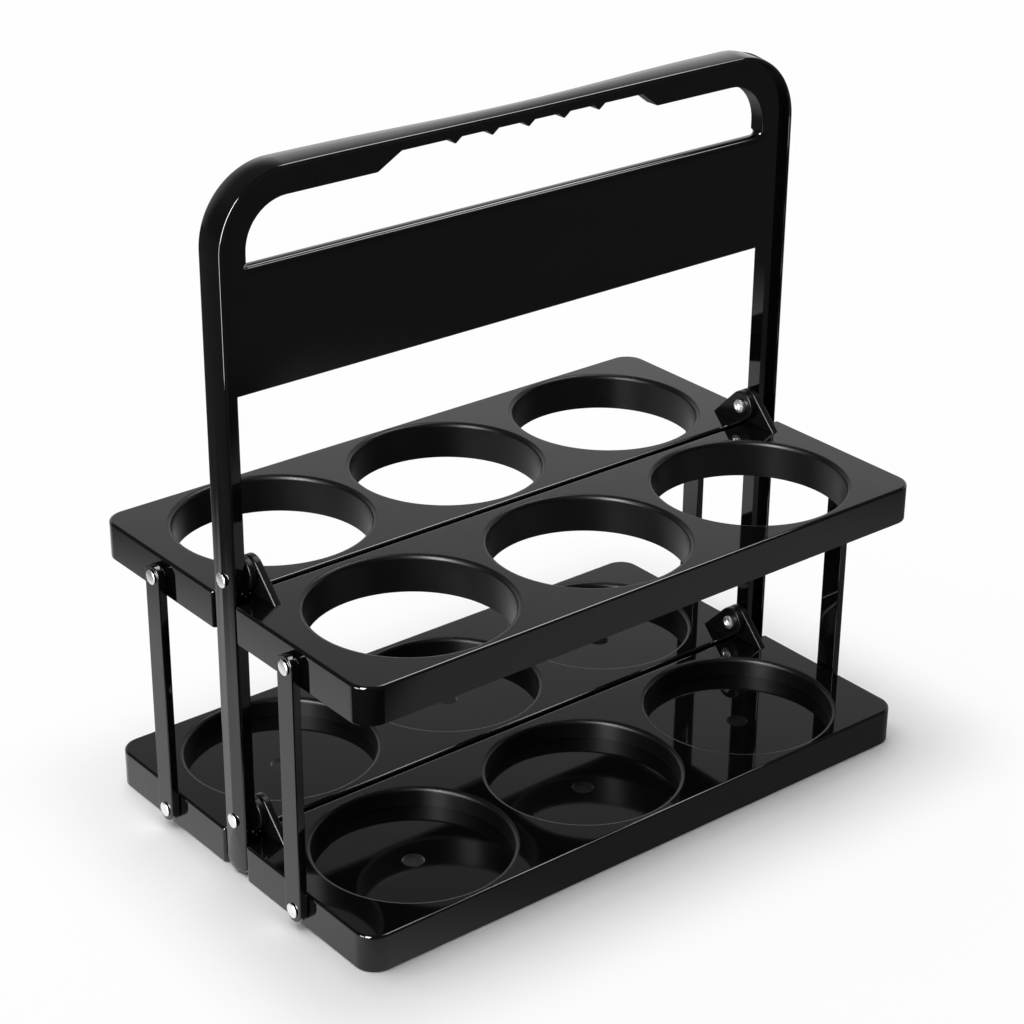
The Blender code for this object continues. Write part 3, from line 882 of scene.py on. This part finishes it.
def rivet(name, sizes, seat, wall):
    """A rivet along +X: a rolled hollow tail behind the wall, a shank and a domed head."""
    tail = wall - FIT - CLINCH_DEPTH
    head = seat + FIT
    lip = CLINCH_DEPTH / 3
    rise = sizes.head_rise - HEAD_RIM
    profile = [
        (CLINCH_BORE * BORE_TAPER_SHARE, tail + CLINCH_BORE_DEPTH),
        (CLINCH_BORE, tail + CLINCH_BORE_DEPTH - lip),
        (CLINCH_BORE, tail + lip),
        (CLINCH_BORE + lip / 2, tail + lip / 3),
        (CLINCH_BORE + lip, tail),
        (CLINCH_RADIUS - lip * 2, tail),
        (CLINCH_RADIUS - lip / 2, tail + lip / 2),
        (CLINCH_RADIUS, tail + lip * 3 / 2),
        (CLINCH_RADIUS, tail + CLINCH_DEPTH),
        (SHANK_RADIUS, tail + CLINCH_DEPTH),
        (SHANK_RADIUS, head),
        (HEAD_RADIUS - HEAD_RIM / 2, head),
        (HEAD_RADIUS, head + HEAD_RIM / 2),
        (HEAD_RADIUS, head + HEAD_RIM),
    ]
    for step in range(1, DOME_STEPS):
        angle = math.pi / 2 * step / DOME_STEPS
        profile.append((HEAD_RADIUS * math.cos(angle), head + HEAD_RIM + rise * math.sin(angle)))
    return turned(name, profile, BORE_FACETS, along="X")


def moulded_plastic(name, colour, roughness, specular):
    """Moulded plastic: faint tone and gloss changes, and the slight waviness of a moulding."""
    made = bpy.data.materials.new(name)
    nodes = Nodes(made)
    place = nodes.add("ShaderNodeTexCoord", None, None, "Object")
    shift = PATTERN_SHIFTS[name]
    where = nodes.add("ShaderNodeMapping", None, {"Vector": place, "Location": (shift, shift / 2, 0)})
    tone = nodes.noise(where, TONE_SCALE, 3)
    grain = nodes.noise(where, GRAIN_SCALE, 2)
    haze = nodes.noise(where, HAZE_SCALE, 4)
    waves = nodes.noise(where, WAVE_SCALE, 1)
    light = [channel * LIGHT_TONE_SHARE for channel in colour]
    colour = nodes.blend(tone, (*colour, 1), (*light, 1))
    gloss = roughness + (haze - 0.5) * HAZE_SHARE + (grain - 0.5) * GRAIN_SHARE
    relief = waves * WAVE_RELIEF_SHARE + grain * GRAIN_RELIEF_SHARE
    inputs = {"Strength": 1, "Distance": PLASTIC_RELIEF, "Height": relief}
    bump = nodes.add("ShaderNodeBump", None, inputs)
    shader = nodes.add("ShaderNodeBsdfPrincipled", None, {
        "Base Color": colour,
        "Roughness": gloss,
        "IOR": PLASTIC_IOR,
        "Specular IOR Level": specular,
        "Normal": bump,
    })
    nodes.add("ShaderNodeOutputMaterial", None, {"Surface": shader})
    return made


def glossy_plastic(name, finishes):
    """Plastic of the polished faces."""
    return moulded_plastic(
        name, finishes.plastic_colour, finishes.plastic_roughness, GLOSSY_SPECULAR)


def satin_plastic(name, finishes):
    """Plastic of the duller faces inside the holes, on the ears and round the hand opening."""
    return moulded_plastic(
        name, finishes.plastic_colour, finishes.satin_roughness, SATIN_SPECULAR)


def plated_steel(finishes):
    """Bright plated steel of the rivets and pins, with fine scuffs from the rivet tool."""
    made = bpy.data.materials.new("plated_steel")
    nodes = Nodes(made)
    where = nodes.add("ShaderNodeTexCoord", None, None, "Object")
    scuffs = nodes.noise(where, SCUFF_SCALE, 3)
    cloud = nodes.noise(where, CLOUD_SCALE, 2)
    bright = finishes.steel_colour
    dull = [channel * DULL_TONE_SHARE for channel in bright]
    colour = nodes.blend(cloud, (*dull, 1), (*bright, 1))
    gloss = finishes.steel_roughness + (scuffs - 0.5) * SCUFF_SHARE
    inputs = {"Strength": 1, "Distance": STEEL_RELIEF, "Height": scuffs}
    bump = nodes.add("ShaderNodeBump", None, inputs)
    shader = nodes.add("ShaderNodeBsdfPrincipled", None, {
        "Base Color": colour,
        "Metallic": 1,
        "Roughness": gloss,
        "Normal": bump,
    })
    nodes.add("ShaderNodeOutputMaterial", None, {"Surface": shader})
    return made


def pale_floor(finishes):
    """Plain pale floor, seen whiter than it is lit away from the carrier."""
    made = bpy.data.materials.new("pale_floor")
    nodes = Nodes(made)
    place = nodes.add("ShaderNodeTexCoord", None, None, "Object")
    place = nodes.add("ShaderNodeVectorMath", {"operation": "ABSOLUTE"}, {0: place})
    corner = (TRAY_END, OUTER_EDGE, 0)
    place = nodes.add("ShaderNodeVectorMath", {"operation": "SUBTRACT"}, {0: place, 1: corner})
    place = nodes.add("ShaderNodeVectorMath", {"operation": "MAXIMUM"}, {0: place, 1: (0, 0, 0)})
    away = nodes.add("ShaderNodeVectorMath", {"operation": "LENGTH"}, {0: place}, "Value")
    camera, glossy, through = [
        nodes.add("ShaderNodeLightPath", None, None, name)
        for name in ("Is Camera Ray", "Is Glossy Ray", "Is Transmission Ray")
    ]
    seen = (camera + glossy + through) * nodes.ramp(away, *FLOOR_FADE) * FLOOR_WHITE
    lit = nodes.add("ShaderNodeBsdfDiffuse", None, {"Color": (*finishes.floor_colour, 1)})
    white = nodes.add("ShaderNodeEmission", None, {"Color": grey(1), "Strength": 1})
    shader = nodes.add("ShaderNodeMixShader", None, {0: seen, 1: lit, 2: white})
    nodes.add("ShaderNodeOutputMaterial", None, {"Surface": shader})
    return made


def painted_floor_reflection():
    """A card that glows in the gloss alone and paints the floor's reflection there: painted light round
    the carrier, painted shade dimming it at the front right, painted dark far out.
    """
    made = bpy.data.materials.new("painted_floor_reflection")
    nodes = Nodes(made)
    place = nodes.add("ShaderNodeTexCoord", None, None, "Object")
    left = nodes.ramp(nodes.along(place, BACK_LEFT), *LEFT_FADE)
    front = nodes.ramp(nodes.along(place, FRONT), *FRONT_FADE)
    corner = nodes.ramp(nodes.along(place, FRONT_LEFT), *CORNER_FADE)
    inputs = {"Vector": place, "Location": FAR_SHIFT, "Scale": FAR_SQUEEZE}
    spread = nodes.add("ShaderNodeMapping", None, inputs)
    away = nodes.add("ShaderNodeVectorMath", {"operation": "LENGTH"}, {0: spread}, "Value")
    far = nodes.ramp(away, *FAR_FADE)
    near = nodes.blend(front, grey(NEAR_PAINTED_SHADE), grey(FRONT_PAINTED_SHADE))
    near = nodes.blend(left, near, grey(LEFT_PAINTED_LIGHT))
    near = nodes.blend(corner, near, grey(CORNER_PAINTED_SHADE))
    # The emission paints the reflected floor's light and shade; no lamp lights this card
    shader = nodes.add("ShaderNodeBsdfPrincipled", None, {
        "Base Color": grey(0),
        "Specular IOR Level": 0,
        "Emission Color": nodes.blend(far, near, grey(FAR_PAINTED_DARK)),
        "Emission Strength": 1,
    })
    nodes.add("ShaderNodeOutputMaterial", None, {"Surface": shader})
    return made


def studio_air():
    """World light of the studio: white at the horizon behind on the right, dark elsewhere."""
    world = bpy.data.worlds.new("studio_air")
    nodes = Nodes(world)
    way = nodes.add("ShaderNodeTexCoord", None, None, "Generated")
    right = nodes.ramp(nodes.along(way, BACK_RIGHT), *AIR_FADE)
    horizon = nodes.blend(right, grey(DIM_AIR), grey(BRIGHT_AIR))
    high = nodes.ramp(nodes.along(way, UP), *AIR_FADE)
    colour = nodes.blend(high, horizon, grey(HIGH_AIR))
    air = nodes.add("ShaderNodeBackground", None, {"Color": colour, "Strength": 1})
    nodes.add("ShaderNodeOutputWorld", None, {"Surface": air})
    return world


def flat_card(name, size, place, surface):
    """A level card of the stage."""
    clear_selection()
    bpy.ops.mesh.primitive_plane_add(size=size, location=place)
    card = settle(bpy.context.object)
    card.name = name
    card.data.materials.append(surface)
    return card


def soft_box(name, place, width, height, energy):
    """A soft box that faces the carrier and shows in its gloss alone."""
    bpy.ops.object.light_add(type="AREA", location=place)
    lamp = bpy.context.object
    lamp.name = name
    lamp.data.shape = "RECTANGLE"
    lamp.data.size = width
    lamp.data.size_y = height
    lamp.data.energy = energy
    lamp.visible_diffuse = False
    way = Vector(BOX_AIM) - lamp.location
    lamp.rotation_euler = way.to_track_quat("-Z", "Y").to_euler()


class CARRIER_OT_trays(bpy.types.Operator):
    """Model the four half trays with their cup holes, pockets and hinge ears"""

    bl_idname = "carrier.trays"
    bl_label = "Half Trays"

    def execute(self, context):
        sizes = context.scene.carrier_sizes
        finishes = context.scene.carrier_finishes
        surface = glossy_plastic("tray_plastic", finishes)
        satin = satin_plastic("tray_satin", finishes)
        for level, top in LEVELS.items():
            front = half_tray(sizes, top, level == "lower")
            back = copy_of(front, "back", turn=math.pi)
            dress(front, level + "_front_tray", level + "_front", surface)
            dress(back, level + "_back_tray", level + "_back", surface)
            for item in (front, back):
                paint(item, satin, lambda face: is_satin(sizes, top, face))
        return {"FINISHED"}


class CARRIER_OT_handle(bpy.types.Operator):
    """Model the handle with its legs, band, panel and toothed grip"""

    bl_idname = "carrier.handle"
    bl_label = "Handle"

    def execute(self, context):
        finishes = context.scene.carrier_finishes
        surface = glossy_plastic("handle_plastic", finishes)
        handle = whole_handle(context.scene.carrier_sizes)
        dress(handle, "handle", "handle", surface)
        paint(handle, satin_plastic("handle_satin", finishes), is_opening_face)
        return {"FINISHED"}


class CARRIER_OT_links(bpy.types.Operator):
    """Model the four links between the two levels"""

    bl_idname = "carrier.links"
    bl_label = "Links"

    def execute(self, context):
        finishes = context.scene.carrier_finishes
        surface = glossy_plastic("link_plastic", finishes)
        pattern = flat_link()
        for half_name, half in HALVES.items():
            for side_name, side in SIDES.items():
                name = "link_" + half_name + "_" + side_name
                turn = math.pi if side < 0 else 0
                place = (0, half * LINK_PLACE, LOWER_TOP - LINK_DROP)
                dress(copy_of(pattern, name, turn, place), name, name, surface)
        drop(pattern)
        return {"FINISHED"}


class CARRIER_OT_rivets(bpy.types.Operator):
    """Model the link rivets and the hinge pins"""

    bl_idname = "carrier.rivets"
    bl_label = "Rivets and Pins"

    def execute(self, context):
        sizes = context.scene.carrier_sizes
        surface = plated_steel(context.scene.carrier_finishes)
        link_rivet = rivet("link_rivet", sizes, LINK_OUTER, TRAY_END - RIM_WALL)
        hinge_pin = rivet("hinge_pin", sizes, LEG_OUTER, EAR_OUTER - EAR_THICK - FIT - EAR_THICK)
        for level, top in LEVELS.items():
            for side_name, side in SIDES.items():
                turn = math.pi if side < 0 else 0
                name = "hinge_pin_" + level + "_" + side_name
                pin = copy_of(hinge_pin, name, turn, (0, 0, top + PIN_LIFT))
                dress(pin, name, "handle", surface)
                for half_name, half in HALVES.items():
                    name = "link_rivet_" + level + "_" + half_name + "_" + side_name
                    place = (0, half * LINK_PLACE, top - LINK_DROP)
                    copy = copy_of(link_rivet, name, turn, place)
                    dress(copy, name, level + "_" + half_name, surface)
        drop(link_rivet)
        drop(hinge_pin)
        return {"FINISHED"}


class CARRIER_OT_stage(bpy.types.Operator):
    """Set up the floor, the soft light and the camera"""

    bl_idname = "carrier.stage"
    bl_label = "Studio"

    def execute(self, context):
        scene = context.scene
        scene.view_settings.view_transform = "Standard"
        scene.world = studio_air()
        surface = pale_floor(scene.carrier_finishes)
        flat_card("studio_floor", FLOOR_SIZE, (0, 0, -FLOOR_DROP), surface)
        # A card seen in the gloss alone, glowing with the painted reflection of the floor: painted light
        # and painted shade
        card = flat_card("painted_reflection_card", FLOOR_SIZE, (0, 0, -FLOOR_DROP / 2), painted_floor_reflection())
        card.visible_camera = False
        card.visible_diffuse = False
        card.visible_shadow = False
        card.visible_transmission = False
        bpy.ops.object.light_add(type="SUN", rotation=KEY_TURN)
        key = context.object
        key.name = "key_light"
        key.data.energy = KEY_ENERGY
        key.data.angle = KEY_SPREAD
        key.visible_glossy = False
        for name, settings in SOFT_BOXES.items():
            soft_box(name, **settings)
        turn = Matrix.Rotation(CAMERA_YAW, 3, "Z") @ Matrix.Rotation(CAMERA_TILT, 3, "X")
        turn = turn @ Matrix.Rotation(CAMERA_ROLL, 3, "Z")
        bpy.ops.object.camera_add(location=CAMERA_PLACE, rotation=turn.to_euler())
        camera = context.object
        camera.name = "camera"
        camera.data.lens = CAMERA_LENS
        camera.data.sensor_width = CAMERA_SENSOR
        camera.data.clip_start = CAMERA_NEAR
        scene.camera = camera
        return {"FINISHED"}


class CARRIER_PT_panel(bpy.types.Panel):
    """Sizes, finishes and steps of the cup carrier"""

    bl_idname = "CARRIER_PT_panel"
    bl_label = "Folding Cup Carrier"
    bl_space_type = "VIEW_3D"
    bl_region_type = "UI"
    bl_category = "Carrier"

    def draw(self, context):
        layout = self.layout
        for group in (context.scene.carrier_sizes, context.scene.carrier_finishes):
            box = layout.box()
            for name in group.__annotations__:
                box.prop(group, name)
        for step in STEPS:
            layout.operator(step.bl_idname)


STEPS = (CARRIER_OT_trays, CARRIER_OT_handle, CARRIER_OT_links, CARRIER_OT_rivets, CARRIER_OT_stage)
CLASSES = (CarrierSizes, CarrierFinishes, *STEPS, CARRIER_PT_panel)


def register():
    """Make the classes and their settings known to Blender."""
    for made in CLASSES:
        bpy.utils.register_class(made)
    bpy.types.Scene.carrier_sizes = PointerProperty(type=CarrierSizes)
    bpy.types.Scene.carrier_finishes = PointerProperty(type=CarrierFinishes)


def unregister():
    """Take the settings and the classes out again."""
    del bpy.types.Scene.carrier_finishes
    del bpy.types.Scene.carrier_sizes
    for made in reversed(CLASSES):
        bpy.utils.unregister_class(made)


def main():
    """Build the whole carrier and its studio."""
    register()
    bpy.ops.carrier.trays()
    bpy.ops.carrier.handle()
    bpy.ops.carrier.links()
    bpy.ops.carrier.rivets()
    bpy.ops.carrier.stage()


if __name__ == "__main__":
    main()
